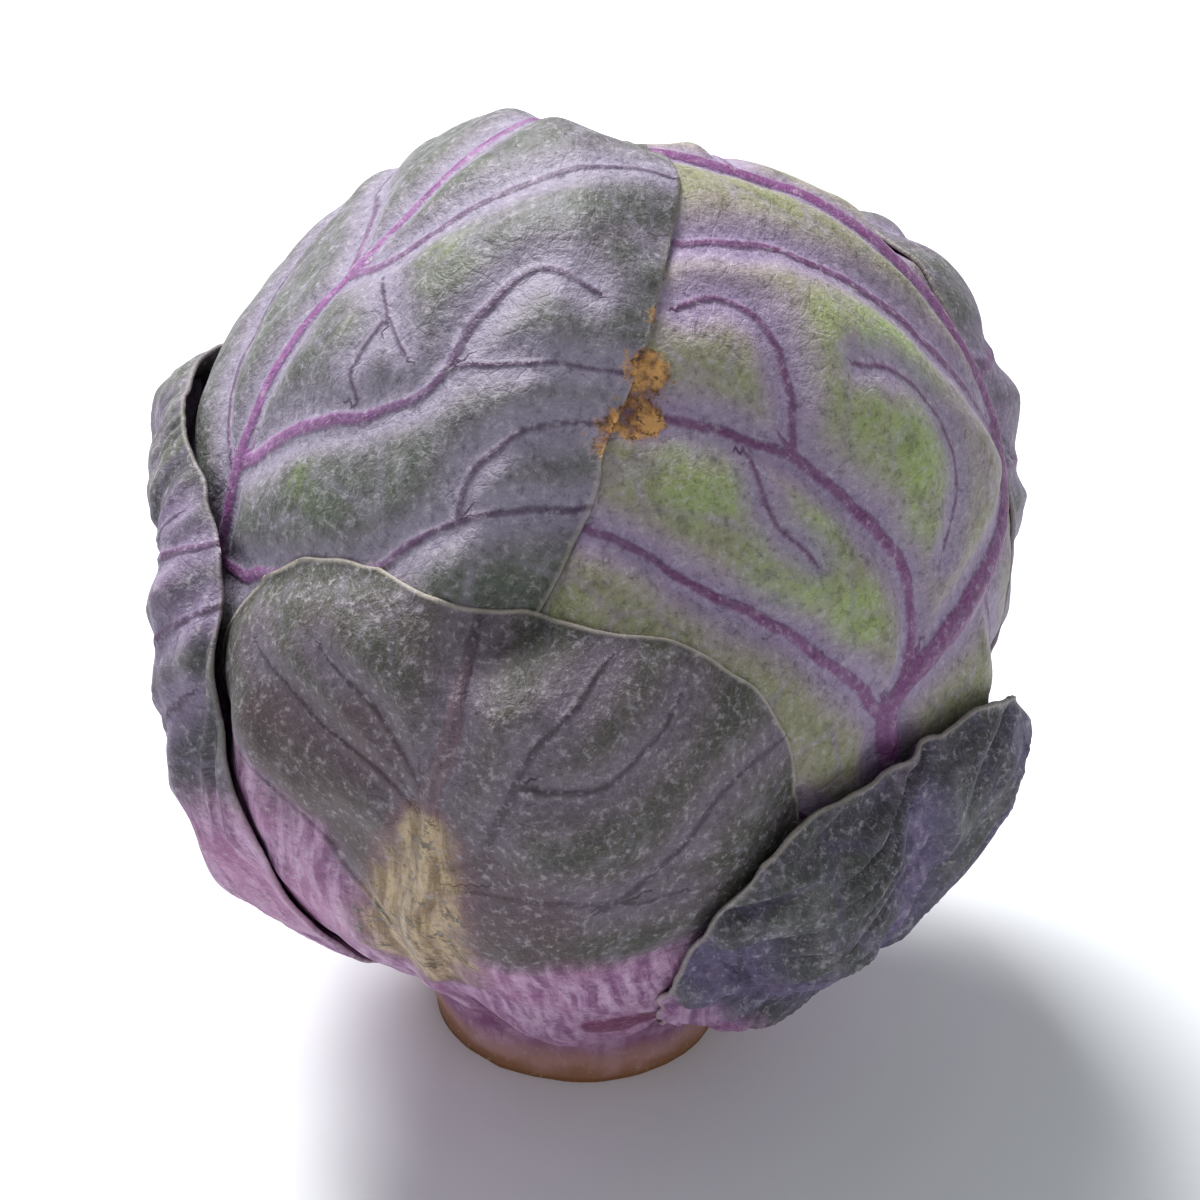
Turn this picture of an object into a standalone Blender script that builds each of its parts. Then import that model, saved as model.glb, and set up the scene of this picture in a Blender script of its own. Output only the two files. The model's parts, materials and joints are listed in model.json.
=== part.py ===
"""Brussels sprout: one small red cabbage head, standing on its cut stalk.

Metres, +Z up. The origin is the middle of the cut face, on the surface the head stands on, and the
front of the head is towards -Y. Every leaf is a thin shell laid over the leaves under it, from the
heart outwards, and grows from the stalk that runs up the middle.
"""

import math

import bpy
import numpy as np

# ---- driving dimensions -------------------------------------------------------------------------
CENTRE_HEIGHT = 0.0232  # the fattest part of the head above the cut face
HEART_RADIUS = 0.0087  # the bud in the middle that isn't opened into leaves
HEART_TALLER = 1.12  # height of the bud over its width
LAYER_GAP = 0.00042  # air between a leaf and what it lies on
CUT_RADIUS = 0.0065  # cut face of the stalk
CUT_LENGTH = 0.0020  # bare stalk under the lowest leaf
STALK_CONE = math.radians(17)  # half angle of the stalk inside the head, seen from its centre
STALK_CLEAR = math.radians(3)  # between the stalk and the end of each leaf
DRAPE = (math.radians(3), math.radians(36))  # past a margin, where the next leaf comes down

# thickness of a leaf, in metres, at these degrees up from the stalk
THICKNESS_AT = (20, 35, 50, 70, 90, 180)
THICKNESS = (0.00095, 0.00092, 0.00096, 0.00094, 0.00086, 0.00087)

# ---- leaves -------------------------------------------------------------------------------------
# centre: direction of the leaf's middle, as degrees round from the front and degrees up.
# reach: degrees from that middle to the margin, towards the tip and then every 45 degrees clockwise
# as seen from outside, leaving out the one towards the stalk: every leaf reaches the stalk there.
# stand_off: how far the margin near the tip stands away from the head, in metres.
INNER_LEAVES = 12
INNER_REACH = (54, 56, 64, 66, 66, 64, 56)
GOLDEN_ANGLE = 137.5
LOWEST_INNER = 12  # degrees up to the middle of the first inner leaf, and more in every third
INNER_STEP = 6
INNER_CELLS = 10
WRAPPER_CELLS = 14

WRAPPERS = {
    "crown_leaf_back": {"centre": (178, 22), "reach": (78, 74, 62, 72, 72, 62, 74)},
    "crown_leaf_right": {"centre": (68, 22), "reach": (72, 74, 62, 72, 74, 74, 68)},
    "crown_leaf_left": {"centre": (-62, 25), "reach": (76, 56, 48, 70, 72, 52, 72)},
    "side_leaf_back": {"centre": (-168, -16), "reach": (46, 50, 46, 52, 52, 50, 52)},
    "side_leaf_back_right": {"centre": (124, -10), "reach": (52, 46, 42, 52, 50, 36, 38)},
    "front_leaf": {"centre": (-13, -15), "reach": (48, 51, 44, 48, 46, 41, 56)},
    "lower_leaf_right": {
        "centre": (47, -31), "reach": (31, 34, 37, 38, 29, 31, 36), "stand_off": 0.0003,
    },
    "lower_leaf_left": {
        "centre": (-100, -13), "reach": (38, 50, 53, 57, 52, 47, 42), "stand_off": 0.0004,
    },
}


def smooth_step(low, high, value):
    t = np.clip((value - low) / (high - low), 0, 1)
    return t * t * (3 - 2 * t)


class Leaf:
    """Outline and thickness of one leaf, as functions of a direction from the head's centre."""

    def __init__(self, name, centre, reach, stand_off=0.0):
        self.name = name
        self.stand_off = stand_off
        around, up = map(math.radians, centre)
        sin_a, cos_a, sin_u, cos_u = math.sin(around), math.cos(around), math.sin(up), math.cos(up)
        self.middle = np.array([sin_a * cos_u, -cos_a * cos_u, sin_u])
        self.tipward = np.array([-sin_a * sin_u, cos_a * sin_u, cos_u])
        self.rightward = np.cross(self.tipward, self.middle)
        to_stalk = math.pi / 2 + up - STALK_CONE - STALK_CLEAR
        self.reach = np.insert(np.radians(reach), 4, to_stalk)

    def margin(self, bearing):
        """Angle from the leaf's middle to its margin on this bearing from the tip."""
        spokes = len(self.reach)
        place = (bearing / (2 * math.pi) * spokes) % spokes
        first = np.floor(place).astype(int)
        t = place - first
        before, start, end, after = (self.reach[(first + k) % spokes] for k in (-1, 0, 1, 2))
        return 0.5 * (
            2 * start
            + (end - before) * t
            + (2 * before - 5 * start + 4 * end - after) * t**2
            + (3 * start - before - 3 * end + after) * t**3
        )

    def directions(self, share, bearing):
        """Unit directions at these shares of the way from the middle to the margin."""
        angle = share * self.margin(bearing)
        outward = (
            np.cos(bearing)[:, None] * self.tipward + np.sin(bearing)[:, None] * self.rightward
        )
        return np.cos(angle)[:, None] * self.middle + np.sin(angle)[:, None] * outward

    def cover(self, direction):
        """1 on the leaf, falling smoothly to 0 past its margin."""
        angle = np.arccos(np.clip(direction @ self.middle, -1, 1))
        bearing = np.arctan2(direction @ self.rightward, direction @ self.tipward)
        margin = self.margin(bearing)
        slant = (self.margin(bearing + 0.01) - self.margin(bearing - 0.01)) / 0.02
        past = (angle - margin) / np.sqrt(1 + (slant / np.sin(margin)) ** 2)
        return 1 - smooth_step(*DRAPE, past)


def thickness(direction):
    up_from_stalk = np.degrees(np.arccos(np.clip(-direction[:, 2], -1, 1)))
    return np.interp(up_from_stalk, THICKNESS_AT, THICKNESS)


def inner_radius(direction, under):
    """Where a leaf's inner face lies: over the heart and every leaf that is under it here."""
    heart = HEART_RADIUS / np.sqrt(1 - direction[:, 2] ** 2 * (1 - 1 / HEART_TALLER**2))
    radius = heart + LAYER_GAP
    for leaf in under:
        radius = radius + leaf.cover(direction) * (thickness(direction) + LAYER_GAP)
    return radius


def square_to_disc(x, y):
    """Square net on [-1, 1] bent to a round one, as (share of the radius, bearing from +Y)."""
    px, py = x * np.sqrt(1 - y**2 / 2), y * np.sqrt(1 - x**2 / 2)
    return np.hypot(px, py), np.arctan2(px, py)


# ---- building -----------------------------------------------------------------------------------
def clear_scene():
    for thing in list(bpy.data.objects):
        bpy.data.objects.remove(thing)


def material(name, colour, roughness):
    made = bpy.data.materials.new(name)
    made.use_nodes = True
    shader = made.node_tree.nodes["Principled BSDF"]
    shader.inputs["Base Color"].default_value = colour
    shader.inputs["Roughness"].default_value = roughness
    return made


def take(name, surface, collection):
    """Names the primitive that was just added and moves it to the head's collection."""
    piece = bpy.context.object
    piece.name = piece.data.name = name
    piece.data.materials.append(surface)
    piece.data.shade_smooth()
    for home in list(piece.users_collection):
        home.objects.unlink(piece)
    collection.objects.link(piece)
    return piece


def build_leaf(leaf, under, cells, surface, collection):
    """A grid laid over what is under it, then given the leaf's thickness."""
    bpy.ops.mesh.primitive_grid_add(x_subdivisions=cells, y_subdivisions=cells, size=2)
    blade = take(leaf.name, surface, collection)
    net = np.array([corner.co for corner in blade.data.vertices])
    share, bearing = square_to_disc(net[:, 0], net[:, 1])
    direction = leaf.directions(share, bearing)
    loose = smooth_step(0.55, 1, share) * smooth_step(-0.2, 0.6, np.cos(bearing))
    radius = inner_radius(direction, under) + leaf.stand_off * loose
    for corner, outward, distance in zip(blade.data.vertices, direction, radius):
        corner.co = outward * distance + (0, 0, CENTRE_HEIGHT)

    thickest = max(THICKNESS)
    group = blade.vertex_groups.new(name="thickness")
    for index, amount in enumerate(thickness(direction) / thickest):
        group.add([index], float(amount), "REPLACE")
    shell = blade.modifiers.new("thickness", "SOLIDIFY")
    shell.vertex_group = group.name
    shell.thickness = thickest
    shell.offset = 1


def build_heart(surface, collection):
    """The closed bud in the middle."""
    bpy.ops.mesh.primitive_uv_sphere_add(
        segments=20, ring_count=12, radius=HEART_RADIUS, location=(0, 0, CENTRE_HEIGHT)
    )
    heart = take("heart_bud", surface, collection)
    for corner in heart.data.vertices:
        corner.co.z *= HEART_TALLER


def build_stalk(surface, collection):
    """A turned piece: the cut end, a short bare neck, and the cone that the leaves grow from."""
    top = CENTRE_HEIGHT - (HEART_RADIUS + LAYER_GAP) * HEART_TALLER
    flare = math.tan(STALK_CONE)
    outline = [
        (0, 0, top),
        ((CENTRE_HEIGHT - top) * flare, 0, top),
        ((CENTRE_HEIGHT - CUT_LENGTH) * flare, 0, CUT_LENGTH),
        (CUT_RADIUS, 0, 0),
        (0, 0, 0),
    ]
    mesh = bpy.data.meshes.new("stalk")
    mesh.from_pydata(outline, [(i, i + 1) for i in range(len(outline) - 1)], [])
    mesh.materials.append(surface)
    stalk = bpy.data.objects.new("stalk", mesh)
    collection.objects.link(stalk)
    turned = stalk.modifiers.new("turned", "SCREW")
    turned.steps = turned.render_steps = 28
    turned.use_merge_vertices = True
    turned.merge_threshold = 0.00001


def main():
    clear_scene()
    head = bpy.data.collections.new("brussels_sprout")
    bpy.context.scene.collection.children.link(head)
    inner_surface = material("inner_leaf", (0.42, 0.45, 0.20, 1), 0.5)
    wrapper_surface = material("wrapper_leaf", (0.10, 0.085, 0.10, 1), 0.55)
    stalk_surface = material("cut_stalk", (0.36, 0.25, 0.13, 1), 0.8)

    build_stalk(stalk_surface, head)
    build_heart(inner_surface, head)
    under = []
    for number in range(INNER_LEAVES):
        centre = (number * GOLDEN_ANGLE, LOWEST_INNER + INNER_STEP * (number % 3))
        leaf = Leaf(f"inner_leaf_{number + 1:02d}", centre, INNER_REACH)
        build_leaf(leaf, under, INNER_CELLS, inner_surface, head)
        under.append(leaf)
    for name, shape in WRAPPERS.items():
        leaf = Leaf(name, **shape)
        build_leaf(leaf, under, WRAPPER_CELLS, wrapper_surface, head)
        under.append(leaf)


main()
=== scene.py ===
# Looks of a red Brussels sprout: waxy purple leaves with raised veins, wrapped one over another.
# Every leaf is laid on the ones under it, the way the solids are, with its veins, folds and rim added.
import math

import bpy
import numpy as np
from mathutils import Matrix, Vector
from mathutils.bvhtree import BVHTree
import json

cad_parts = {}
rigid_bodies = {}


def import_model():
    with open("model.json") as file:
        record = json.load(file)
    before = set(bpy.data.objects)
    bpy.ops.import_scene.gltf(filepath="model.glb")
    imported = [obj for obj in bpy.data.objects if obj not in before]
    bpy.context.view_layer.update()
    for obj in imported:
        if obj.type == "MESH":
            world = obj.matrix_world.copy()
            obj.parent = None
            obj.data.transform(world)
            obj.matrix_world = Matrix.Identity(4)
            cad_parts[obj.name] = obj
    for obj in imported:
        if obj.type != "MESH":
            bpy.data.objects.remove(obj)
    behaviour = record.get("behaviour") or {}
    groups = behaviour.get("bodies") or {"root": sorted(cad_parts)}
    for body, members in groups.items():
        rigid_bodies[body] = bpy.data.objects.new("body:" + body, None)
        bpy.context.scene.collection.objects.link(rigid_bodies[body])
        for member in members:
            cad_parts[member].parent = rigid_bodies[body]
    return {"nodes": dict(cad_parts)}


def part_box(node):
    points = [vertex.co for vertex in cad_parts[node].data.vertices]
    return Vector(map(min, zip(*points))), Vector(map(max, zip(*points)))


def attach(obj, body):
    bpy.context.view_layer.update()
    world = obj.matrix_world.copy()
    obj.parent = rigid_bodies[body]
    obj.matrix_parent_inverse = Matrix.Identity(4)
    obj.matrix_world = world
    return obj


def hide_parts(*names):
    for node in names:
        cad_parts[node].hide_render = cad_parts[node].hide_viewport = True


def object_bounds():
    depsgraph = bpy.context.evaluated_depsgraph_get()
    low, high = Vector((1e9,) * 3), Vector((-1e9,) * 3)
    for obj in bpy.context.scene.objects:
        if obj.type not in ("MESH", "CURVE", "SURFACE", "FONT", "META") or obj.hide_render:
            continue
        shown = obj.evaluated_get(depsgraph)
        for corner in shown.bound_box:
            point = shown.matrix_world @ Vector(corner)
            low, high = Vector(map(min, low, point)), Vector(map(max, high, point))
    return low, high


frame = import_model()
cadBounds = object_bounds()
for thing in bpy.data.objects:
    thing.select_set(False)


# ---------------------------------------------------------------- the head's own measures
def middleOf(box):
    return [(low + high) / 2 for low, high in zip(*box)]


def sizeOf(box):
    return [high - low for low, high in zip(*box)]


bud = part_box("heart_bud")
budWide, _, budTall = sizeOf(bud)
head = {
    "centre": np.array(middleOf(bud)),
    "budRadius": budWide / 2,
    "budTaller": budTall / budWide,
    "layerGap": 0.00042,
    "thicknessAt": (20, 35, 50, 70, 90, 180),  # degrees up from the stalk
    "thickness": (0.00095, 0.00092, 0.00096, 0.00094, 0.00086, 0.00087),
    "drape": (3, 36),  # degrees past a margin, where the next leaf comes down
    "stalkKeepOut": 17.5,  # degrees, from the middle of the head
    "degree": math.radians(1) * sizeOf(cadBounds)[0] / 2,  # metres along the surface
}


def smoothStep(low, high, value):
    t = np.clip((value - low) / (high - low), 0, 1)
    return t * t * (3 - 2 * t)


def lumps(points, size, seed):
    # soft noise from -1 to 1 in space, one lump being about this size
    place = points / size + (17.3 * seed, 5.1 * seed, -11.7 * seed)
    corner = np.floor(place)
    part = place - corner
    part = part * part * (3 - 2 * part)
    total = np.zeros(len(points))
    for dx in (0, 1):
        for dy in (0, 1):
            for dz in (0, 1):
                at = corner + (dx, dy, dz)
                mixed = np.sin(at @ (127.1, 311.7, 74.7)) * 43758.5453
                weight = np.prod(np.where((dx, dy, dz), part, 1 - part), axis=1)
                total += weight * (mixed - np.floor(mixed))
    return 2 * total - 1


def bladeThickness(direction):
    up = np.degrees(np.arccos(np.clip(-direction[:, 2], -1, 1)))
    steps = [np.interp(up + k, head["thicknessAt"], head["thickness"]) for k in (-8, -4, 0, 4, 8)]
    return np.mean(steps, axis=0)


class Leaf:
    # one leaf seen from the middle of the head, as directions

    def __init__(self, name, centre, reach, standOff=0.0):
        self.name = name
        self.standOff = standOff
        around, up = map(math.radians, centre)
        self.middle = np.array(
            [math.sin(around) * math.cos(up), -math.cos(around) * math.cos(up), math.sin(up)]
        )
        self.tipward = np.array(
            [-math.sin(around) * math.sin(up), math.cos(around) * math.sin(up), math.cos(up)]
        )
        self.rightward = np.cross(self.tipward, self.middle)
        self.toStalk = 90 + centre[1] - head["stalkKeepOut"]
        self.reach = np.radians(np.insert(np.array(reach, float), 4, self.toStalk))

    def margin(self, bearing):
        # a smooth outline through its eight reaches
        count = len(self.reach)
        place = (bearing / (2 * math.pi) * count) % count
        first = np.floor(place).astype(int)
        t = place - first
        before, start, end, after = (self.reach[(first + k) % count] for k in (-1, 0, 1, 2))
        return 0.5 * (
            2 * start
            + (end - before) * t
            + (2 * before - 5 * start + 4 * end - after) * t**2
            + (3 * start - before - 3 * end + after) * t**3
        )

    def direction(self, angle, bearing):
        outward = np.cos(bearing)[:, None] * self.tipward + np.sin(bearing)[:, None] * self.rightward
        return np.cos(angle)[:, None] * self.middle + np.sin(angle)[:, None] * outward

    def cover(self, direction):
        # 1 on the leaf, falling smoothly to 0 past its margin
        angle = np.arccos(np.clip(direction @ self.middle, -1, 1))
        bearing = np.arctan2(direction @ self.rightward, direction @ self.tipward)
        margin = self.margin(bearing)
        slant = (self.margin(bearing + 0.01) - self.margin(bearing - 0.01)) / 0.02
        past = (angle - margin) / np.sqrt(1 + (slant / np.sin(margin)) ** 2)
        low, high = head["drape"]
        return 1 - smoothStep(math.radians(low), math.radians(high), past)


def restingRadius(direction, under):
    # inner face of a leaf: over the bud and each leaf that is under it here
    tall = head["budTaller"]
    radius = head["budRadius"] / np.sqrt(1 - direction[:, 2] ** 2 * (1 - 1 / tall**2))
    radius = radius + head["layerGap"]
    for leaf in under:
        radius = radius + leaf.cover(direction) * (bladeThickness(direction) + head["layerGap"])
    return radius


# ---------------------------------------------------------------- veins
def smoothRoute(points, steps=7):
    # a smooth line through a few points, each (right, up, half width)
    points = np.array(points, float)
    ends = np.vstack([2 * points[0] - points[1], points, 2 * points[-1] - points[-2]])
    route = []
    for a, b, c, d in zip(ends, ends[1:], ends[2:], ends[3:]):
        for t in np.linspace(0, 1, steps, endpoint=False):
            route.append(
                0.5 * (2 * b + (c - a) * t + (2 * a - 5 * b + 4 * c - d) * t**2 + (3 * b - a - 3 * c + d) * t**3)
            )
    return np.array(route + [points[-1]])


def nearest(place, route):
    # distance of each place to the route, its half width there, and which side the place is on
    best = np.full(len(place), 1e9)
    width = np.zeros(len(place))
    side = np.ones(len(place))
    for start, end in zip(route, route[1:]):
        along = end[:2] - start[:2]
        away = place - start[:2]
        t = np.clip(away @ along / max(along @ along, 1e-12), 0, 1)
        gap = np.hypot(*(away - t[:, None] * along).T)
        closer = gap < best
        best = np.where(closer, gap, best)
        width = np.where(closer, start[2] + t * (end[2] - start[2]), width)
        side = np.where(closer, np.sign(along[0] * away[:, 1] - along[1] * away[:, 0]), side)
    return best, width, side


def veinField(place, veins):
    # veins: list of (half width at the start, half width at the end, points), all in millimetres
    # returns the gap to the nearest edge, the signed gap to its middle, the valley it lies in and the ridge it makes
    edgeGap = np.full(len(place), 1e9)
    sideGap = np.zeros(len(place))
    ridge = np.zeros(len(place))
    valley = np.zeros(len(place))
    for wide, narrow, points in veins:
        widths = np.linspace(wide, narrow, len(points))
        route = smoothRoute([(x, y, w) for (x, y), w in zip(points, widths)])
        gap, width, side = nearest(place, route)
        closer = gap - width < edgeGap
        edgeGap = np.where(closer, gap - width, edgeGap)
        sideGap = np.where(closer, gap * side, sideGap)
        depth = np.clip(width / 0.22, 0.35, 1)
        valley = np.maximum(valley, depth * np.exp(-((np.maximum(gap - width, 0) / (0.8 + 0.5 * depth)) ** 1.7)))
        ridge = np.maximum(ridge, np.minimum(width, 0.8) * np.exp(-((gap / (1.15 * width)) ** 2)))
    return edgeGap, sideGap, valley, ridge


def cellNet(place, size, seed):
    # distance to the borders between irregular cells of this size
    picks = np.random.default_rng(seed)
    low, high = place.min(0) - size, place.max(0) + size
    across = np.arange(low[0], high[0], size)
    upward = np.arange(low[1], high[1], size)
    seeds = np.array([(x, y) for x in across for y in upward])
    seeds = seeds + picks.uniform(-0.42, 0.42, seeds.shape) * size
    first = np.full(len(place), 1e9)
    second = np.full(len(place), 1e9)
    for seed in seeds:
        gap = np.hypot(*(place - seed).T)
        second = np.where(gap < first, first, np.minimum(second, gap))
        first = np.minimum(first, gap)
    return (second - first) / 2


def plainVeins(leafReach, bend=0.0):
    # midrib and side veins of a leaf that shows nothing special, in degrees on the leaf
    veins = [(0.85, 0.16, [(0, -86), (2 * bend, -50), (3 * bend, -15), (2 * bend, 20), (0, leafReach - 6)])]
    for number, start in enumerate(range(-62, leafReach - 24, 17)):
        for side in (-1, 1):
            lift = start + (5 if side > 0 else 0)
            out = 46 - 0.12 * abs(start)
            veins.append(
                (0.36, 0.13, [
                    (0, lift), (side * 0.3 * out, lift + 8), (side * 0.65 * out, lift + 19),
                    (side * out, lift + 34 + 2 * number),
                ])
            )
            veins.append(
                (0.2, 0.1, [
                    (side * 0.42 * out, lift + 11), (side * 0.52 * out, lift + 17),
                    (side * 0.56 * out, lift + 23),
                ])
            )
    return veins


# ---------------------------------------------------------------- the leaves, from the inside out
innerLeaves = {
    "count": 12,
    "reach": (54, 56, 64, 66, 66, 64, 56),
    "turn": 137.5,
    "lowest": 12,
    "step": 6,
    "cells": 54,
}

# veins and spots are in degrees right of the leaf's middle and up from it; vein widths in millimetres
wrappers = {
    "crown_leaf_back": {
        "shape": {"centre": (178, 22), "reach": (78, 74, 62, 72, 72, 62, 74)},
        "cells": 130,
        "veins": plainVeins(74, 2.0),
        "look": "duskLeaf",
    },
    "crown_leaf_right": {
        "shape": {"centre": (68, 22), "reach": (72, 74, 62, 72, 74, 74, 68)},
        "cells": 176,
        "veins": [
            (0.9, 0.5, [(0, -88), (-8, -62), (-17, -36), (-20, -16), (-6, -12), (12, -9), (25, -2),
                         (27, 13), (27, 28), (24, 43), (18, 56), (12, 68)]),
            (0.34, 0.16, [(-20, -16), (-14, -9), (-11, 0), (-13, 11), (-15, 19), (-18, 27), (-25, 37), (-31, 46)]),
            (0.19, 0.1, [(-17, 26), (-12, 33), (-8, 40), (-10, 46), (-15, 49)]),
            (0.31, 0.16, [(-20, -17), (-25, -7), (-30, 3), (-35, 11), (-40, 22), (-44, 33), (-48, 44)]),
            (0.22, 0.16, [(25, -1), (18, 9), (15, 20), (11, 31), (5, 42), (-2, 50), (-10, 58)]),
            (0.1, 0.07, [(-22, 30), (-25, 22), (-24, 14)]),
            (0.09, 0.07, [(-3, 28), (4, 20), (4, 8), (-4, 0)]),
            (0.21, 0.09, [(27, 28), (44, 26), (60, 32)]),
            (0.21, 0.09, [(27, 14), (46, 8), (62, 12)]),
            (0.21, 0.09, [(30, -2), (46, -12), (60, -14)]),
            (0.19, 0.09, [(20, 52), (36, 54), (52, 62)]),
            (0.21, 0.09, [(5, -11), (14, -30), (30, -46)]),
            (0.19, 0.09, [(-18, -34), (-34, -26), (-48, -8)]),
        ],
        "green": [((0, 24), 15), ((-2, 10), 11), ((-29, 31), 9), ((-26, 15), 10), ((-22, 3), 6)],
        "burn": [((-30, 44), 6), ((-25, 46), 4.5), ((-32, 52), 5)],
        "look": "greenLeaf",
    },
    "crown_leaf_left": {
        "shape": {"centre": (-62, 25), "reach": (76, 56, 48, 70, 72, 52, 72)},
        "cells": 176,
        "veins": [
            (0.74, 0.19, [(0, -90), (-2, -60), (-6, -30), (-9, 2), (-11, 24), (-12, 42), (-14, 60), (-20, 76)]),
            (0.24, 0.12, [(-12, 36), (-4, 41), (0, 50), (3, 60), (8, 73)]),
            (0.31, 0.1, [(-10, 6), (-3, 13), (5, 22), (12, 27), (17, 34), (16, 44), (16, 52), (22, 55)]),
            (0.14, 0.08, [(17, 37), (24, 43), (33, 51)]),
            (0.3, 0.12, [(-9, -8), (0, -5), (8, 0), (16, 5), (25, 13), (29, 20), (35, 28), (43, 36)]),
            (0.15, 0.08, [(31, 24), (29, 31), (31, 38), (36, 45)]),
            (0.25, 0.1, [(-12, 36), (-22, 41), (-34, 45), (-46, 54)]),
            (0.22, 0.09, [(-9, 4), (-22, 12), (-34, 24), (-42, 36)]),
            (0.09, 0.07, [(0, 39), (5, 37), (12, 35)]),
            (0.09, 0.07, [(5, 37), (6, 30), (9, 27)]),
            (0.22, 0.09, [(-7, -22), (-24, -8), (-40, 6)]),
            (0.22, 0.09, [(-6, -30), (10, -22), (26, -10), (40, 4)]),
            (0.22, 0.09, [(-3, -56), (14, -44), (34, -26)]),
        ],
        "green": [((6, 46), 6), ((3, 33), 4), ((9, 15), 5)],
        "burn": [((39, 46), 7), ((34, 54), 5), ((30, 60), 4), ((27, 65), 3.5)],
        "look": "greyLeaf",
    },
    "side_leaf_back": {
        "shape": {"centre": (-168, -16), "reach": (46, 50, 46, 52, 52, 50, 52)},
        "cells": 124,
        "veins": plainVeins(46, -2.0),
        "look": "duskLeaf",
    },
    "side_leaf_back_right": {
        "shape": {"centre": (124, -10), "reach": (52, 46, 42, 52, 50, 36, 38)},
        "cells": 124,
        "veins": plainVeins(50, 1.0),
        "green": [((-14, 20), 9), ((16, 8), 8)],
        "look": "duskLeaf",
    },
    "front_leaf": {
        "shape": {"centre": (-13, -15), "reach": (48, 51, 44, 48, 46, 41, 56)},
        "cells": 176,
        "veins": [
            (1.2, 0.14, [(-6, -58), (-10, -38), (-9, -18), (-7, 2), (-5, 20), (-2, 34), (-1, 48)]),
            (0.26, 0.09, [(-6, 20), (-12, 24), (-22, 27), (-34, 32)]),
            (0.24, 0.09, [(-5, 22), (-10, 30), (-22, 38)]),
            (0.22, 0.09, [(-6, 12), (2, 17), (5, 25), (8, 33), (17, 42)]),
            (0.19, 0.08, [(-7, 6), (2, 13), (12, 12), (26, 8)]),
            (0.16, 0.07, [(16, 10), (26, 16), (32, 23), (41, 25)]),
            (0.12, 0.07, [(6, 28), (16, 28), (22, 32), (27, 37)]),
            (0.25, 0.1, [(-8, -8), (-18, 4), (-28, 12), (-38, 18)]),
            (0.19, 0.09, [(-8, -24), (6, -14), (20, -6), (34, -2)]),
        ],
        "pillows": [((14, 18), 15, 0.55), ((-32, 18), 10, 0.45), ((31, 20), 9, 0.3), ((-17, 12), 7, -0.5), ((-8, 0), 8, 0.35),
                    ((3, -6), 9, -0.35)],
        "rosyLine": [(-44, 20), (-32, 14), (-22, 9), (-13, -4), (0, -4), (10, 1), (22, -3), (40, -6)],
        "tan": [((-5, 18), 6), ((-6, 12), 8), ((-7, 6), 9), ((-8, 0), 10), ((-9, -6), 11), ((-9, -13), 10)],
        "brown": [((2, 8), 15), ((6, -4), 14), ((-20, 14), 12), ((-26, 23), 11), ((-14, 28), 9)],
        "deep": [((-35, -17), 7), ((-32, -23), 6), ((14, -31), 6), ((20, -30), 5)],
        "roll": ((-38, -6), 24, 0.45),
        "rim": 0.7,
        "look": "oliveLeaf",
    },
    "lower_leaf_right": {
        "shape": {"centre": (47, -31), "reach": (31, 34, 37, 38, 29, 31, 36), "standOff": 0.0003},
        "cells": 140,
        "veins": plainVeins(24, 1.0),
        "wrinkle": (22, 0.75),
        "curl": 0.3,
        "rosyLine": [(-36, 2), (-24, -4), (-10, -16), (10, -30), (30, -40)],
        "rim": 0.45,
        "look": "inkLeaf",
    },
    "lower_leaf_left": {
        "shape": {"centre": (-100, -13), "reach": (38, 50, 53, 57, 52, 47, 42), "standOff": 0.0004},
        "cells": 140,
        "veins": plainVeins(34, -2.0),
        "wrinkle": (96, 0.3),
        "curl": 0.2,
        "rosyLine": [(-50, -40), (0, -26), (30, -4), (50, 4)],
        "rim": 0.25,
        "look": "duskLeaf",
    },
}

blade = {
    "thick": 0.00042,
    "gap": 0.00004,  # between a leaf's rim and what it lies on
    "rimZone": 0.0042,  # how far from the rim a leaf starts to come down
    "pillow": 0.00078,  # how deep the valleys of the veins are
    "ridge": 0.0008,  # height of a vein, for each millimetre of its half width
    "net": 0.00009,
    "waver": 0.011,  # unevenness of the outline, as an angle
}


def spots(place, greens):
    # soft round patches: ((right, up), radius), in degrees
    mask = np.zeros(len(place))
    for middle, radius in greens:
        gap = np.hypot(*(place - middle).T)
        mask = np.maximum(mask, 1 - smoothStep(0.35, 1.15, gap / radius))
    return mask


def addLeafGrid(name, cells):
    bpy.ops.object.select_all(action="DESELECT")
    bpy.ops.mesh.primitive_grid_add(x_subdivisions=cells, y_subdivisions=cells, size=2)
    piece = bpy.context.object
    piece.name = piece.data.name = name
    return piece


def storeValues(piece, name, values):
    layer = piece.data.attributes.new(name, "FLOAT", "POINT")
    layer.data.foreach_set("value", np.asarray(values, np.float32))


def evened(values, cells, rounds):
    # smooths values over the leaf's grid
    grid = values.reshape(cells + 1, cells + 1)
    for _ in range(rounds):
        wide = np.pad(grid, 1, "edge")
        grid = (wide[:-2, 1:-1] + wide[2:, 1:-1] + wide[1:-1, :-2] + wide[1:-1, 2:] + 2 * grid) / 6
    return grid.ravel()


laid = {"points": [], "faces": []}  # outer faces of the leaves laid so far


def surfaceUnder(direction):
    # how far out the leaves laid so far reach in each direction
    tree = BVHTree.FromPolygons(laid["points"], laid["faces"])
    radius = np.zeros(len(direction))
    for index, way in enumerate(direction):
        hit = tree.ray_cast(Vector(way) * 0.05, -Vector(way))[0]
        if hit:
            radius[index] = hit.length
    return radius


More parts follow.
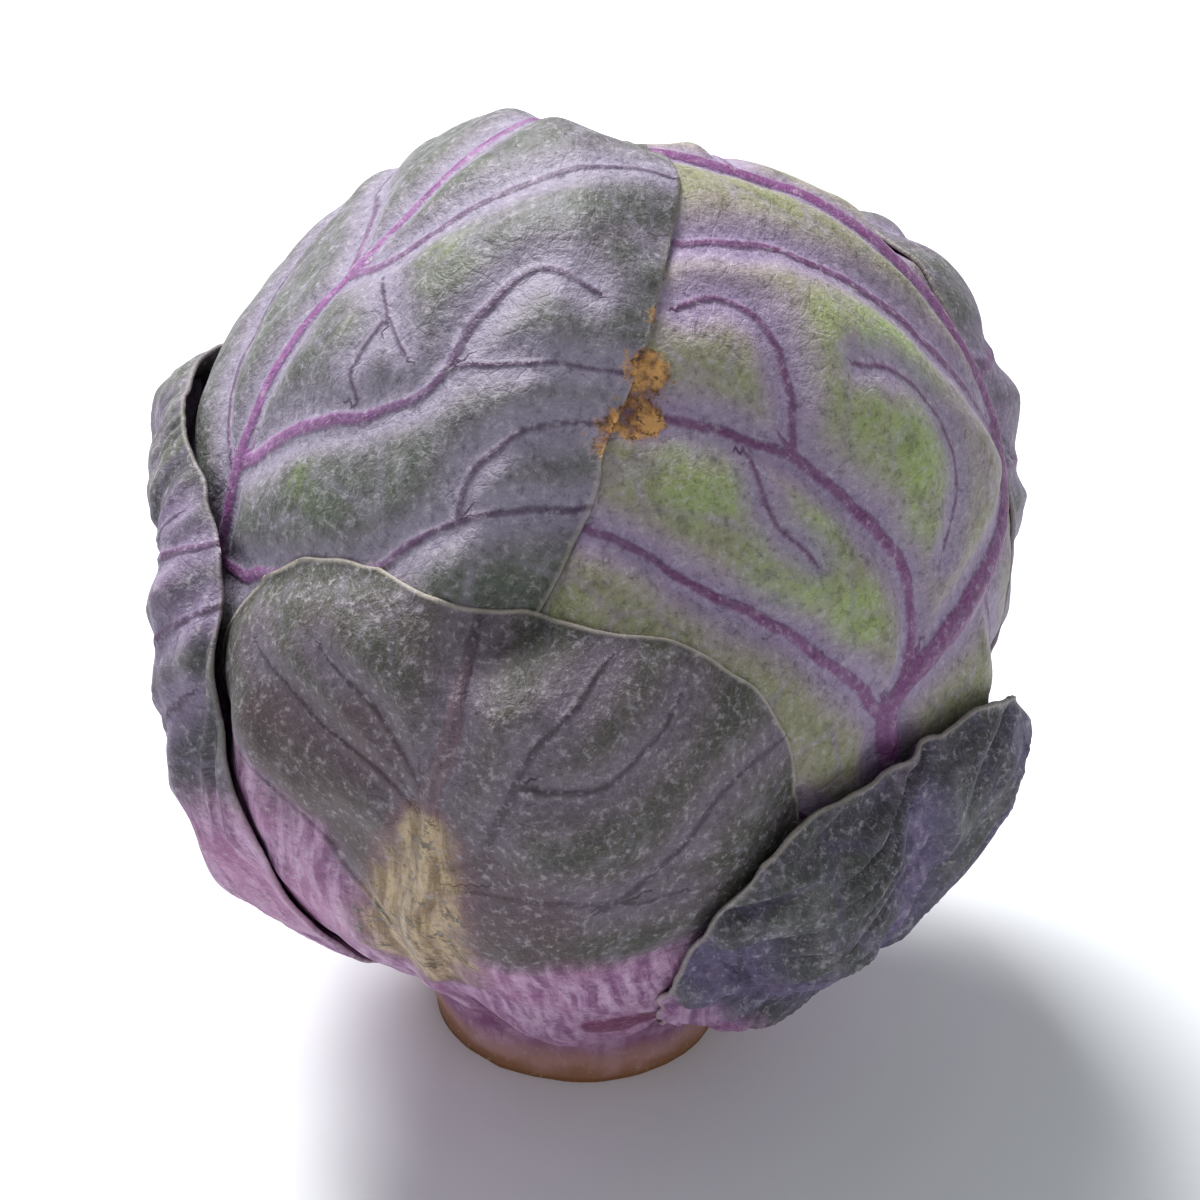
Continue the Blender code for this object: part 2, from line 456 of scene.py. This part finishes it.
def layLeaf(leaf, under, plan, follows=True):
    # lays a grid over what is under it, raises its veins and pillows, and gives it a thickness
    cells = plan["cells"]
    piece = addLeafGrid(leaf.name + "_skin", cells)
    net = np.empty(len(piece.data.vertices) * 3)
    piece.data.vertices.foreach_get("co", net)
    x, y = net.reshape(-1, 3)[:, :2].T
    discX, discY = x * np.sqrt(1 - y**2 / 2), y * np.sqrt(1 - x**2 / 2)
    share, bearing = np.hypot(discX, discY), np.arctan2(discX, discY)

    ring = np.stack([np.cos(bearing), np.sin(bearing), np.zeros_like(bearing)], 1)
    waver = lumps(ring, 0.16, 3) + 0.5 * lumps(ring, 0.07, 5)
    free = smoothStep(-0.9, -0.6, np.cos(bearing))
    reach = leaf.margin(bearing) + blade["waver"] * waver * free
    angle = share * reach
    direction = leaf.direction(angle, bearing)

    # the leaf laid flat, in degrees and in millimetres
    scale = head["degree"] * 1000
    flat = np.degrees(angle)[:, None] * np.stack([np.sin(bearing), np.cos(bearing)], 1)
    metric = flat * scale
    rimGap = (1 - share) * np.degrees(reach) * scale

    # a small waver keeps veins from looking drawn
    space = direction * 20
    bentX = metric[:, 0] + 0.28 * lumps(space, 3.1, 1) + 0.12 * lumps(space, 1.2, 2)
    bentY = metric[:, 1] + 0.28 * lumps(space, 3.1, 7) + 0.12 * lumps(space, 1.2, 8)
    bent = np.stack([bentX, bentY], 1)
    veins = [(w, n, [(px * scale, py * scale) for px, py in points]) for w, n, points in plan["veins"]]
    edgeGap, sideGap, valley, ridge = veinField(bent, veins)
    netGap = cellNet(bent, plan.get("netSize", 3.4), 11)

    netSwell = 1 - np.exp(-((netGap / 0.6) ** 2))
    relief = -blade["pillow"] * valley
    relief += blade["net"] * (netSwell - 1) * (1 - valley)
    relief += blade["ridge"] * ridge
    relief += 0.00010 * lumps(space, 5.2, 4) - 0.00004
    relief += 0.000025 * lumps(space, 0.9, 6)
    for middle, radius, height in plan.get("pillows", []):
        gap = np.hypot(*(flat - middle).T) / radius
        relief += height * 0.001 * (1 - smoothStep(0.1, 1.15, gap))
    wrinkles = 0
    paintedFoldShade = np.zeros(len(flat))
    if "wrinkle" in plan:
        turn, height = plan["wrinkle"]
        turn = math.radians(turn)
        # a fold runs at this turn from the leaf's right
        along = bent @ (math.cos(turn), math.sin(turn)) / 7.0
        across = bent @ (-math.sin(turn), math.cos(turn)) / 0.95
        folds = lumps(np.stack([across, along, np.zeros_like(along)], 1), 1.0, 9)
        wrinkles = height * 0.001 * (1 - 2.4 * np.abs(folds)) * smoothStep(0, 0.8, rimGap)
        # how deep each fold's valley is, kept as the mask for the painted shade in the folds
        paintedFoldShade = 2 * np.abs(folds)
    if "roll" in plan:
        middle, radius, height = plan["roll"]
        rolled = spots(flat, [(middle, radius)]) * np.exp(-(((rimGap - 0.9) / 0.75) ** 2))
        relief += height * 0.001 * rolled

    # near its rim the leaf comes down on what it lies on
    thick = blade["thick"] * (0.45 + 0.55 * smoothStep(0, 1.6, rimGap))
    nominal = restingRadius(direction, under) + bladeThickness(direction)
    low = (1 - smoothStep(0, blade["rimZone"] * 1000, rimGap)) * (1 - plan.get("curl", 0))
    if follows:
        reached = surfaceUnder(direction)
        below = np.where(reached > 0, reached, nominal - bladeThickness(direction) - head["layerGap"])
        resting = evened(below, cells, 14) + thick + blade["gap"]
        outer = nominal + relief
        outer += low * (resting - outer) + 0.25 * low * relief
        loose = smoothStep(0.55, 1, share) * smoothStep(-0.2, 0.6, np.cos(bearing))
        outer += leaf.standOff * loose + wrinkles
        outer = np.maximum(outer, below + thick + 0.00003)
        outer = 0.5 * (outer + evened(outer, cells, 1))
    else:
        outer = nominal + np.clip(relief, -0.0004, 0.0001)
    points = direction * outer[:, None]
    start = len(laid["points"])
    laid["points"] += [tuple(point) for point in points]
    laid["faces"] += [tuple(start + k for k in face.vertices) for face in piece.data.polygons]
    piece.data.vertices.foreach_set("co", (points + head["centre"]).ravel())

    fromStalk = np.degrees(np.arccos(np.clip(-direction[:, 2], -1, 1)))
    storeValues(piece, "veinGap", edgeGap)
    storeValues(piece, "veinSide", sideGap)
    storeValues(piece, "veinHalf", np.abs(sideGap) - edgeGap)
    storeValues(piece, "netGap", netGap)
    storeValues(piece, "pillow", smoothStep(0.5, 2.6, edgeGap))
    storeValues(piece, "rimGap", rimGap)
    storeValues(piece, "paintedFoldShade", paintedFoldShade)
    storeValues(piece, "fromStalk", fromStalk)
    for key in ("green", "burn", "tan", "brown", "deep"):
        storeValues(piece, key, spots(flat, plan.get(key, [])))
    lineX, lineY = np.transpose(plan.get("rosyLine", [(-90, -60), (90, -60)]))
    storeValues(piece, "rosy", 1 - smoothStep(-11, 11, flat[:, 1] - np.interp(flat[:, 0], lineX, lineY)))

    # the leaf laid flat is also its UV map, a tenth of a unit to the millimetre
    uv = piece.data.uv_layers.active.data
    loopVertex = np.empty(len(piece.data.loops), np.int64)
    piece.data.loops.foreach_get("vertex_index", loopVertex)
    uv.foreach_set("uv", (bent[loopVertex] * 0.1).ravel())

    bpy.context.view_layer.objects.active = piece
    share = piece.vertex_groups.new(name="thickness")
    levels = np.round(thick / blade["thick"], 2)
    for level in np.unique(levels):
        share.add(np.flatnonzero(levels == level).tolist(), float(level), "REPLACE")
    shell = piece.modifiers.new("thickness", "SOLIDIFY")
    shell.thickness = blade["thick"]
    shell.offset = -1
    shell.vertex_group = share.name
    bpy.ops.object.modifier_apply(modifier=shell.name)
    bpy.ops.object.shade_smooth()
    return piece


# ---------------------------------------------------------------- materials
def shade(code, alpha=1.0):
    # "#rrggbb" as the screen shows it, turned into scene colour
    parts = [int(code[k : k + 2], 16) / 255 for k in (1, 3, 5)]
    return tuple(c / 12.92 if c < 0.04045 else ((c + 0.055) / 1.055) ** 2.4 for c in parts) + (alpha,)


class Wire:
    # a socket that adds Math nodes when it is used in an expression

    def __init__(self, kit, socket):
        self.kit = kit
        self.socket = socket

    def maths(self, operation, *values, clamp=False):
        inputs = {index: value for index, value in enumerate(values)}
        return self.kit.node("Math", {"operation": operation, "use_clamp": clamp}, inputs)

    def __add__(self, other):
        return self.maths("ADD", self, other)

    def __sub__(self, other):
        return self.maths("SUBTRACT", self, other)

    def __rsub__(self, other):
        return self.maths("SUBTRACT", other, self)

    def __mul__(self, other):
        return self.maths("MULTIPLY", self, other)

    def __truediv__(self, other):
        return self.maths("DIVIDE", self, other)

    __radd__ = __add__
    __rmul__ = __mul__

    def most(self, other):
        return self.maths("MAXIMUM", self, other)

    def least(self, other):
        return self.maths("MINIMUM", self, other)

    def fade(self, low, high):
        # 0 at low, 1 at high, smooth between, either way round
        settings = {"interpolation_type": "SMOOTHSTEP"}
        if low < high:
            inputs = {"Value": self, "From Min": low, "From Max": high}
            return self.kit.node("MapRange", settings, inputs)
        inputs = {"Value": self, "From Min": high, "From Max": low, "To Min": 1.0, "To Max": 0.0}
        return self.kit.node("MapRange", settings, inputs)


class Finish:
    # builds one material

    def __init__(self, name):
        self.material = bpy.data.materials.new(name)
        self.material.use_nodes = True
        self.tree = self.material.node_tree
        self.shader = self.tree.nodes["Principled BSDF"]
        self.space = self.node("TexCoord", {}, {}, "Object")

    def node(self, kind, settings, inputs, output=0):
        made = self.tree.nodes.new("ShaderNode" + kind)
        for key, value in settings.items():
            setattr(made, key, value)
        for key, value in inputs.items():
            if isinstance(value, Wire):
                self.tree.links.new(value.socket, made.inputs[key])
            else:
                made.inputs[key].default_value = value
        return Wire(self, made.outputs[output])

    def value(self, name):
        return self.node("Attribute", {"attribute_name": name}, {}, "Fac")

    def noise(self, scale, detail=3.0, rough=0.55, seed=0.0, source=None):
        place = self.node("Mapping", {}, {"Vector": source or self.space, "Location": (seed, 2 * seed, -seed)})
        return self.node("TexNoise", {}, {"Vector": place, "Scale": scale, "Detail": detail, "Roughness": rough})

    def mix(self, mask, first, second, blend="MIX"):
        settings = {"data_type": "RGBA", "blend_type": blend, "clamp_factor": True}
        return self.node("Mix", settings, {0: mask, 6: first, 7: second}, 2)

    def put(self, **inputs):
        for key, value in inputs.items():
            socket = self.shader.inputs[key.replace("_", " ")]
            if isinstance(value, Wire):
                self.tree.links.new(value.socket, socket)
            else:
                socket.default_value = value


leafLooks = {
    "greyLeaf": {
        "ground": "#726c72", "pillow": "#51574c", "green": "#6b7a48", "halo": "#938aa0", "vein": "#8d4a8c",
        "fine": "#4a3350", "greenAmount": 0.7, "dusk": 0.3, "purple": 0.15,
    },
    "greenLeaf": {
        "ground": "#998d8b", "pillow": "#858562", "green": "#95a863", "halo": "#8f7ba3", "vein": "#75306f",
        "fine": "#5c2a58", "greenAmount": 0.95, "dusk": 0.12, "purple": 0.2,
    },
    "oliveLeaf": {
        "ground": "#574d4b", "pillow": "#43443a", "green": "#59613c", "halo": "#6b6070", "vein": "#6d5560",
        "fine": "#3d2f3c", "greenAmount": 0.5, "dusk": 0.45, "purple": 0.05,
    },
    "inkLeaf": {
        "ground": "#4b4555", "pillow": "#474a46", "green": "#5c6650", "halo": "#62587a", "vein": "#77688a",
        "fine": "#352a44", "greenAmount": 0.3, "dusk": 0.5, "purple": 0.25,
    },
    "duskLeaf": {
        "ground": "#6d6371", "pillow": "#585c50", "green": "#69733f", "halo": "#857592", "vein": "#80487f",
        "fine": "#48324d", "greenAmount": 0.8, "dusk": 0.35, "purple": 0.3,
    },
}


def leafFinish(name, look, rimPale):
    made = Finish(name)
    veinGap, netGap, rimGap = made.value("veinGap"), made.value("netGap"), made.value("rimGap")
    pillow, green, burn = made.value("pillow"), made.value("green"), made.value("burn")
    rosy, petiole, deep = made.value("rosy"), made.value("tan"), made.value("deep")
    brown, paintedFoldShade = made.value("brown"), made.value("paintedFoldShade")
    fromStalk, half = made.value("fromStalk"), made.value("veinHalf")
    across = made.value("veinSide").maths("ABSOLUTE", made.value("veinSide"))
    flat = made.node("TexCoord", {}, {}, "UV")

    broad = made.noise(150, 3, 0.6, 1.0)
    patch = made.noise(330, 4, 0.6, 3.0)
    mottle = made.noise(900, 3, 0.65, 9.0)
    grain = made.noise(2600, 3, 0.7, 5.0)
    speck = made.noise(5200, 2, 0.6, 7.0)

    # fine net of small veins, on the flattened leaf
    warp = made.node("TexNoise", {}, {"Vector": flat, "Scale": 9.0, "Detail": 2.0}, 1)
    warped = made.node("Mix", {"data_type": "VECTOR"}, {0: 0.055, 4: flat, 5: warp}, 1)
    fine = made.node("TexVoronoi", {"feature": "DISTANCE_TO_EDGE"}, {"Vector": warped, "Scale": 8.5})
    finer = made.node("TexVoronoi", {"feature": "DISTANCE_TO_EDGE"}, {"Vector": warped, "Scale": 26.0})
    fineLine = fine.fade(0.07, 0.0)
    finerLine = finer.fade(0.10, 0.0)

    colour = made.mix(pillow * (0.45 + 0.55 * broad.fade(0.25, 0.6)), shade(look["ground"]), shade(look["pillow"]))
    greenMask = (green * patch.fade(0.3, 0.6)).most(pillow * broad.fade(0.56, 0.76) * 0.5)
    colour = made.mix(greenMask * look["greenAmount"], colour, shade(look["green"]))
    colour = made.mix(patch.fade(0.52, 0.8) * look["dusk"], colour, shade("#37322f"))
    colour = made.mix(broad.fade(0.5, 0.3) * look["purple"], colour, shade("#7a4f86"))
    colour = made.mix(mottle.fade(0.48, 0.72) * 0.27, colour, shade("#a097a6"))
    colour = made.mix(mottle.fade(0.5, 0.28) * 0.45, colour, shade("#38343a"))
    # painted shade: the leaf is darkened where its wrinkles fold down
    colour = made.mix((paintedFoldShade + (patch - 0.5) * 0.4).fade(0.3, 0.9) * 0.65, colour, shade("#262230"))
    halo = veinGap.fade(1.8, 0.1)
    colour = made.mix(halo * 0.74, colour, shade(look["halo"]))
    colour = made.mix(netGap.fade(0.3, 0.02) * 0.3 * pillow, colour, shade(look["halo"]))
    colour = made.mix(fineLine * patch.fade(0.4, 0.65) * 0.16, colour, shade(look["fine"]))
    colour = made.mix(finerLine * 0.12, colour, shade("#a79cae"))
    line = (across - half + (grain - 0.5) * 0.16).fade(0.14, -0.1) * veinGap.fade(0.6, 0.3)
    thin = half.fade(0.3, 0.14)
    ink = made.mix(thin, shade(look["vein"]), shade(look["fine"]))
    ink = made.mix(across.fade(0.3, 0.0) * (1 - thin) * mottle.fade(0.4, 0.6) * 0.5, ink, shade(look["fine"]))
    colour = made.mix(line * (0.35 + mottle * 0.9), colour, ink)

    # towards the stalk the leaf turns rosy and streaked, with a speckled tan midrib
    streak = made.node("Mapping", {}, {"Vector": flat, "Scale": (3.4, 0.5, 1.0)})
    streak = made.node("TexNoise", {}, {"Vector": streak, "Scale": 5.0, "Detail": 5.0, "Roughness": 0.6})
    base = (fromStalk + (broad - 0.5) * 20).fade(44, 30).most((rosy + (patch - 0.5) * 0.7 + (streak - 0.5) * 0.5).fade(0.25, 0.9))
    pink = made.mix(streak.fade(0.38, 0.62), shade("#85507f"), shade("#c29cbd"))
    pink = made.mix(broad.fade(0.42, 0.66) * 0.6, pink, shade("#a86a96"))
    pink = made.mix(streak.fade(0.55, 0.75) * mottle.fade(0.4, 0.6) * 0.4, pink, shade("#ecd3e6"))
    colour = made.mix((brown + (patch - 0.5) * 0.6).fade(0.25, 0.8) * 0.6, colour, shade("#4f3a3e"))
    colour = made.mix(base * 0.9, colour, pink)
    colour = made.mix(petiole.fade(0.0, 0.4) * 0.6, colour, shade("#76535a"))
    tan = (petiole + (patch - 0.5) * 1.2 + (mottle - 0.5) * 0.9).fade(0.35, 1.05)
    colour = made.mix(tan * 0.85, colour, made.mix(streak.fade(0.4, 0.6), shade("#86704a"), shade("#c2aa86")))
    colour = made.mix(petiole.fade(0.05, 0.5) * (grain + mottle).fade(1.02, 1.2) * 0.85, colour, shade("#40301f"))
    colour = made.mix((deep + (patch - 0.5) * 0.4).fade(0.3, 0.8) * 0.9, colour, shade("#6b1f4d"))

    # pale wax, specks and rim
    colour = made.mix(grain.fade(0.52, 0.7) * 0.38, colour, shade("#bdb6bf"))
    colour = made.mix(grain.fade(0.48, 0.3) * 0.42, colour, shade("#2e2b2d"))
    colour = made.mix(speck.fade(0.6, 0.8) * 0.2, colour, shade("#d2ccd0"))
    colour = made.mix(speck.fade(0.4, 0.22) * 0.4, colour, shade("#272425"))
    rim = (rimGap + (patch - 0.5) * 0.2).fade(0.24, 0.02)
    colour = made.mix(rim * rimPale, colour, shade("#b0a79c"))
    scorch = (burn + (mottle - 0.5) * 1.6 + (grain - 0.5) * 1.4).fade(0.45, 0.9) * burn.fade(0.0, 0.3)
    colour = made.mix(scorch, colour, made.mix(mottle.fade(0.4, 0.6), shade("#6e4527"), shade("#c79558")))
    colour = made.mix(scorch * grain.fade(0.55, 0.65) * 0.8, colour, shade("#3a2414"))

    bumps = grain * 0.5 + speck * 0.2 + mottle * 0.7 - finerLine * 0.05 - fineLine * 0.08 + line * 0.4
    normal = made.node("Bump", {}, {"Strength": 0.8, "Distance": 0.0002, "Height": bumps})
    made.put(
        Base_Color=colour,
        Roughness=0.5 + grain * 0.16 - line * 0.06,
        Normal=normal,
        Specular_IOR_Level=0.42,
    )
    return made.material


def innerFinish():
    made = Finish("innerLeafFinish")
    veinGap, fromStalk = made.value("veinGap"), made.value("fromStalk")
    patch = made.noise(300, 4, 0.6, 2.0)
    grain = made.noise(2400, 3, 0.7, 4.0)
    colour = made.mix(patch.fade(0.35, 0.65), shade("#a9a65f"), shade("#8c9350"))
    colour = made.mix(fromStalk.fade(70, 30) * 0.8, colour, shade("#c9c79a"))
    colour = made.mix(veinGap.fade(0.15, -0.1) * 0.8, colour, shade("#8b3f7c"))
    colour = made.mix(grain.fade(0.5, 0.75) * 0.2, colour, shade("#d5d2b8"))
    normal = made.node("Bump", {}, {"Strength": 0.4, "Distance": 0.0001, "Height": grain})
    made.put(Base_Color=colour, Roughness=0.42 + grain * 0.1, Normal=normal)
    return made.material


def budFinish():
    made = Finish("heartBudFinish")
    patch = made.noise(260, 4, 0.6, 2.0)
    grain = made.noise(2400, 3, 0.7, 4.0)
    ribs = made.node("TexWave", {}, {"Vector": made.space, "Scale": 60.0, "Distortion": 6.0, "Detail": 2.0}, 1)
    colour = made.mix(patch.fade(0.35, 0.65), shade("#d3cc8b"), shade("#b7b768"))
    colour = made.mix(ribs.fade(0.75, 0.95) * 0.4, colour, shade("#94507f"))
    normal = made.node("Bump", {}, {"Strength": 0.4, "Distance": 0.0002, "Height": ribs * 0.6 + grain * 0.3})
    made.put(Base_Color=colour, Roughness=0.45, Normal=normal)
    return made.material


# ---------------------------------------------------------------- the stalk
stalkPlan = {
    "sides": 120,
    # height and radius of each ring, in millimetres, up from the cut
    "rings": [(0.35, 6.5), (1.2, 6.55), (2.2, 6.75), (3.2, 7.1), (4.2, 7.65), (5.2, 8.35), (6.2, 9.1), (7.0, 9.65),
              (7.7, 9.75), (8.6, 8.8), (10.5, 6.0), (12.6, 3.1)],
    "cutRings": [6.2, 5.6, 4.9, 4.2, 3.5, 2.8, 2.0, 1.2, 0.5],
    "flute": 0.0003,
    "leafFoot": 0.0008,  # how far each outer leaf's foot stands out
}


def stalkFinish():
    made = Finish("stalkFinish")
    place = made.node("SeparateXYZ", {}, {"Vector": made.space}, 2)
    wide = made.node("CombineXYZ", {}, {"X": made.node("SeparateXYZ", {}, {"Vector": made.space}, 0),
                                            "Y": made.node("SeparateXYZ", {}, {"Vector": made.space}, 1)})
    radius = made.node("VectorMath", {"operation": "LENGTH"}, {0: wide}, "Value")
    patch = made.noise(420, 4, 0.6, 2.0)
    grain = made.noise(2600, 4, 0.7, 4.0)
    streak = made.node("Mapping", {}, {"Vector": made.space, "Scale": (1.0, 1.0, 0.12)})
    fibre = made.noise(1700, 4, 0.6, 6.0, source=streak)
    height = place * 1000 + (patch - 0.5) * 2.2
    colour = made.mix(patch.fade(0.35, 0.65), shade("#84507a"), shade("#b48ea9"))
    colour = made.mix(fibre.fade(0.5, 0.7) * 0.5, colour, shade("#6d2f58"))
    colour = made.mix(height.fade(2.6, 0.9) * 0.8, colour, shade("#b58a78"))
    colour = made.mix(height.fade(1.2, 0.2) * 0.85, colour, shade("#8c5e38"))
    # the cut: pale pith, a ring of vessels and a dried edge
    cut = made.mix(radius.fade(0.0048, 0.0034), shade("#b9a273"), shade("#d8cba0"))
    cut = made.mix((radius + (patch - 0.5) * 0.0012).fade(0.0045, 0.0049) * radius.fade(0.0056, 0.0052) * 0.6, cut, shade("#8a9150"))
    cut = made.mix((radius + (patch - 0.5) * 0.001).fade(0.0056, 0.0063), cut, shade("#7d5330"))
    cut = made.mix(grain.fade(0.52, 0.72) * 0.5, cut, shade("#8f7044"))
    colour = made.mix(place.fade(0.0003, 0.0001), colour, cut)
    colour = made.mix(grain.fade(0.55, 0.75) * 0.3, colour, shade("#e0d2c4"))
    bumps = fibre * 0.7 + grain * 0.5 + patch * 0.4
    normal = made.node("Bump", {}, {"Strength": 0.7, "Distance": 0.00025, "Height": bumps})
    made.put(Base_Color=colour, Roughness=0.62 + grain * 0.2, Normal=normal)
    return made.material


def makeStalk():
    # a cut disc, inset into rings, its edge drawn up into the fluted neck that the leaf stalks join
    low, high = (np.array(corner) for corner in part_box("stalk"))
    middle = (low + high) / 2
    cut = (high[0] - low[0]) / 2
    bpy.ops.object.select_all(action="DESELECT")
    bpy.ops.mesh.primitive_circle_add(
        vertices=stalkPlan["sides"], radius=cut, fill_type="NGON", location=(middle[0], middle[1], low[2])
    )
    piece = bpy.context.object
    piece.name = piece.data.name = "stalk_flesh"
    bpy.ops.object.transform_apply(location=True, rotation=True, scale=True)
    bpy.ops.object.mode_set(mode="EDIT")
    bpy.ops.mesh.select_all(action="SELECT")
    # upwards first, from the disc's edge
    bpy.ops.mesh.select_mode(type="EDGE")
    bpy.ops.mesh.region_to_loop()
    reached, wide = 0.0, cut
    for height, radius in stalkPlan["rings"]:
        bpy.ops.mesh.extrude_region_move(TRANSFORM_OT_translate={"value": (0, 0, height / 1000 - reached)})
        bpy.ops.transform.resize(value=(radius / 1000 / wide, radius / 1000 / wide, 1), center_override=(middle[0], middle[1], 0))
        reached, wide = height / 1000, radius / 1000
    bpy.ops.mesh.edge_face_add()
    # then the rings of the cut
    bpy.ops.mesh.select_all(action="DESELECT")
    bpy.ops.mesh.select_mode(type="FACE")
    bpy.ops.object.mode_set(mode="OBJECT")
    for face in piece.data.polygons:
        face.select = len(face.vertices) > 4 and face.center.z < reached / 2
    bpy.ops.object.mode_set(mode="EDIT")
    wide = cut * 1000
    for radius in stalkPlan["cutRings"]:
        bpy.ops.mesh.inset(thickness=(wide - radius) / 1000, depth=0)
        wide = radius
    bpy.ops.mesh.select_all(action="SELECT")
    bpy.ops.mesh.normals_make_consistent(inside=False)
    bpy.ops.object.mode_set(mode="OBJECT")
    # flutes where leaf stalks join, and a slightly hollow, uneven cut
    points = np.empty(len(piece.data.vertices) * 3)
    piece.data.vertices.foreach_get("co", points)
    points = points.reshape(-1, 3)
    bearing = np.arctan2(points[:, 1], points[:, 0])
    ring = np.stack([np.cos(bearing), np.sin(bearing), points[:, 2] * 60], 1)
    flute = lumps(ring, 0.45, 2) + 0.5 * lumps(ring, 0.2, 4)
    foot = np.zeros(len(points))
    for plan in wrappers.values():
        turned = bearing - math.radians(plan["shape"]["centre"][0] - 90)
        apart = np.abs((np.degrees(turned) + 180) % 360 - 180)
        foot = np.maximum(foot, np.exp(-((apart / 15) ** 2)))
    flute += stalkPlan["leafFoot"] / stalkPlan["flute"] * (foot - 0.5) * smoothStep(0.0015, 0.006, points[:, 2])
    outward = np.hypot(points[:, 0], points[:, 1])
    onFlank = smoothStep(0.0002, 0.0012, points[:, 2])
    swell = 1 + (stalkPlan["flute"] * flute * onFlank - 0.0002 * (1 - onFlank) * np.abs(flute)) / np.maximum(outward, 0.001)
    points[:, :2] *= swell[:, None]
    onCut = (points[:, 2] < 0.0001) * smoothStep(0.0064, 0.005, outward)
    points[:, 2] += onCut * (0.0002 + 0.00012 * lumps(points, 0.0011, 3))
    piece.data.vertices.foreach_set("co", points.ravel())
    bpy.ops.object.shade_smooth_by_angle(angle=math.radians(50))
    return piece


# ---------------------------------------------------------------- building
under = []
for number in range(innerLeaves["count"]):
    centre = (number * innerLeaves["turn"], innerLeaves["lowest"] + innerLeaves["step"] * (number % 3))
    under.append(Leaf(f"inner_leaf_{number + 1:02d}", centre, innerLeaves["reach"]))
innerSurface = innerFinish()
for number, leaf in enumerate(list(under)):
    plan = {"cells": innerLeaves["cells"], "veins": plainVeins(50, 1.0)[:9]}
    piece = layLeaf(leaf, under[:number], plan, follows=False)
    piece.data.materials.append(innerSurface)
    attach(piece, "root")
    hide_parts(leaf.name)
print("inner leaves laid:", len(under))

for name, plan in wrappers.items():
    leaf = Leaf(name, **plan["shape"])
    piece = layLeaf(leaf, under, plan)
    under.append(leaf)
    look = leafLooks[plan["look"]]
    piece.data.materials.append(leafFinish(name + "Finish", look, plan.get("rim", 0.35)))
    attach(piece, "root")
    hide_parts(name)
    print("wrapper leaf laid:", name)

stalk = makeStalk()
stalk.data.materials.append(stalkFinish())
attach(stalk, "root")
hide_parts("stalk")
print("stalk turned")

heart = frame["nodes"]["heart_bud"]
heart.data.materials.clear()
heart.data.materials.append(budFinish())


# ---------------------------------------------------------------- floor, light and camera
studio = {
    "floor": 1.2,
    "elevation": 38,
    "distance": 0.268,
    "lens": 190,
}


def addStudio():
    bpy.ops.object.select_all(action="DESELECT")
    bpy.ops.mesh.primitive_plane_add(size=studio["floor"], location=(0, 0, 0))
    floor = bpy.context.object
    floor.name = "studio_floor"
    paint = Finish("floorFinish")
    paint.put(Base_Color=shade("#e9ecee"), Roughness=0.7)
    floor.data.materials.append(paint.material)

    world = bpy.data.worlds.new("studioSky")
    world.use_nodes = True
    world.node_tree.nodes["Background"].inputs["Color"].default_value = shade("#eef2f6")
    world.node_tree.nodes["Background"].inputs["Strength"].default_value = 0.42
    bpy.context.scene.world = world

    lamps = {
        "windowLamp": ((-0.13, 0.22, 0.38), 0.18, 3.6),
        "frontLamp": ((0.16, -0.42, 0.34), 0.35, 0.35),
    }
    for name, (place, size, power) in lamps.items():
        data = bpy.data.lights.new(name, "AREA")
        data.size = size
        data.energy = power
        lamp = bpy.data.objects.new(name, data)
        lamp.location = place
        lamp.rotation_euler = (Vector((0, 0, 0.02)) - Vector(place)).to_track_quat("-Z", "Y").to_euler()
        bpy.context.scene.collection.objects.link(lamp)


def addCamera():
    low, high = (np.array(corner) for corner in cadBounds)
    aim = Vector((low + high) / 2)
    tilt = math.radians(studio["elevation"])
    data = bpy.data.cameras.new("camera")
    data.lens = studio["lens"]
    data.clip_start = 0.01
    camera = bpy.data.objects.new("camera", data)
    camera.location = aim + studio["distance"] * Vector((0, -math.cos(tilt), math.sin(tilt)))
    camera.rotation_euler = (math.pi / 2 - tilt, 0, 0)
    bpy.context.scene.collection.objects.link(camera)
    bpy.context.scene.camera = camera


addStudio()
addCamera()
bpy.context.scene.view_settings.view_transform = "Standard"
print("studio set")
